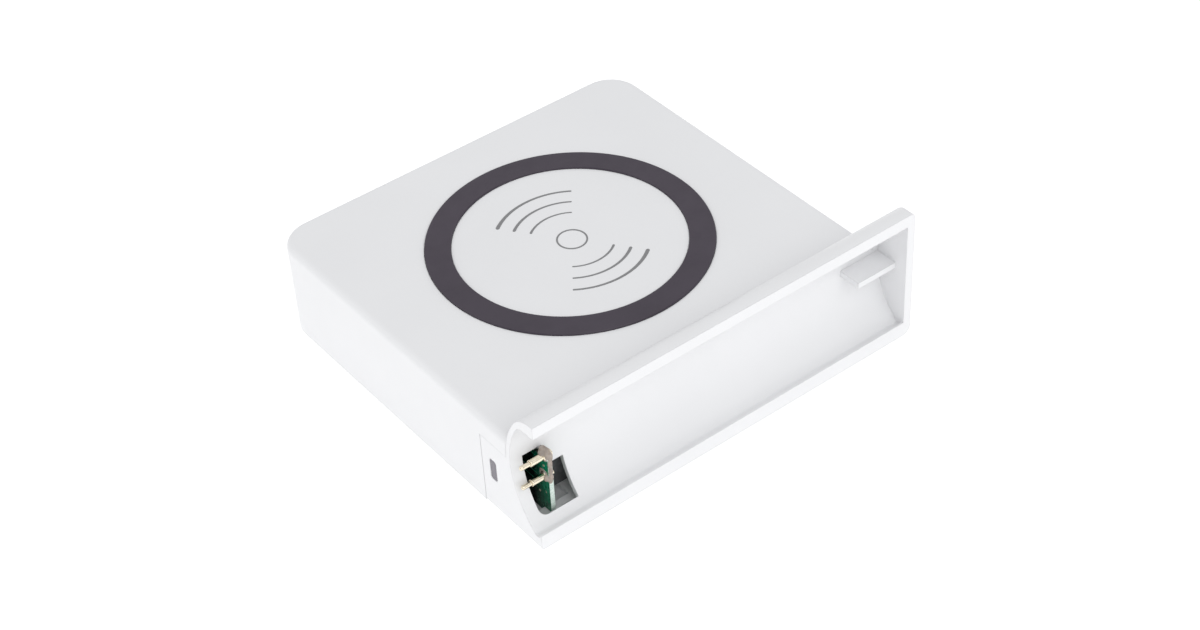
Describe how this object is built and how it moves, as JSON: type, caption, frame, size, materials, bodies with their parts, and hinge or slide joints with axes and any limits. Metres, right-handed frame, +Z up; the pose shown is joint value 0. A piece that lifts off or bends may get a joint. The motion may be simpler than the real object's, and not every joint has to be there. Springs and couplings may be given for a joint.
{
  "type": "wireless charging pad",
  "caption": "Flat rounded-square wireless charging pad with a dark ring, a concave docking channel along one edge and sprung contacts inside it.",
  "frame": {"origin": "centre of the bounding box in X and Y, on the plane the rubber feet stand on", "axes": "+X along the docking channel towards its end wall, +Y from the channel towards the pad's back, +Z up"},
  "size_m": [0.096, 0.091, 0.032],
  "materials": {
    "white_plastic": "satin moulded ABS",
    "dark_rubber": "satin silicone",
    "grey_print": "screen print",
    "smoked_lens": "smoked polycarbonate",
    "led_body": "moulded",
    "green_board": "solder mask",
    "gold_plate": "gold plated",
    "spring_steel": "drawn wire",
    "hot_glue": "cured hot-melt glue",
    "adhesive_film": "double-sided film",
    "enamelled_copper": "enamelled litz wire",
    "ferrite": "sintered ferrite",
    "sensor_bead": "epoxy bead",
    "lead_sleeve": "sleeved wire",
    "red_lead": "PVC sleeve",
    "chip_epoxy": "moulded epoxy",
    "capacitor_ceramic": "film capacitor",
    "screw_steel": "zinc plated",
    "clear_rubber": "soft silicone"
  },
  "bodies": {
    "housing": {"top_shell": "white_plastic", "dock_channel": "white_plastic", "bottom_cover": "white_plastic", "ring_inlay": "dark_rubber", "wave_print": "grey_print", "indicator_lens": "smoked_lens", "status_led": "led_body", "contact_board": "green_board", "contact_barrels": "gold_plate", "spring_upper": "spring_steel", "spring_lower": "spring_steel", "glue_bead": "hot_glue", "coil_tape": "adhesive_film", "charging_coil": "enamelled_copper", "ferrite_sheet": "ferrite", "coil_sensor": "sensor_bead", "coil_leads": "lead_sleeve", "contact_leads": "red_lead", "main_board": "green_board", "controller_chip": "chip_epoxy", "bridge_transistors": "chip_epoxy", "resonant_capacitors": "capacitor_ceramic", "power_inductor": "ferrite", "board_screws": "screw_steel", "cover_screws": "screw_steel", "channel_screws": "screw_steel", "rubber_feet": "clear_rubber"},
    "plunger_upper_body": {"plunger_upper": "gold_plate"},
    "plunger_lower_body": {"plunger_lower": "gold_plate"}
  },
  "joints": [
    {"name": "plunger_upper_press", "type": "slide", "parent": "housing", "child": "plunger_upper_body", "axis": [1, 0, 0], "range_m": [0, 0.0014], "stiffness_N_per_m": 250, "springref_m": -0.0004, "deforming": ["spring_upper"]},
    {"name": "plunger_lower_press", "type": "slide", "parent": "housing", "child": "plunger_lower_body", "axis": [1, 0, 0], "range_m": [0, 0.0014], "stiffness_N_per_m": 250, "springref_m": -0.0004, "deforming": ["spring_lower"]}
  ]
}
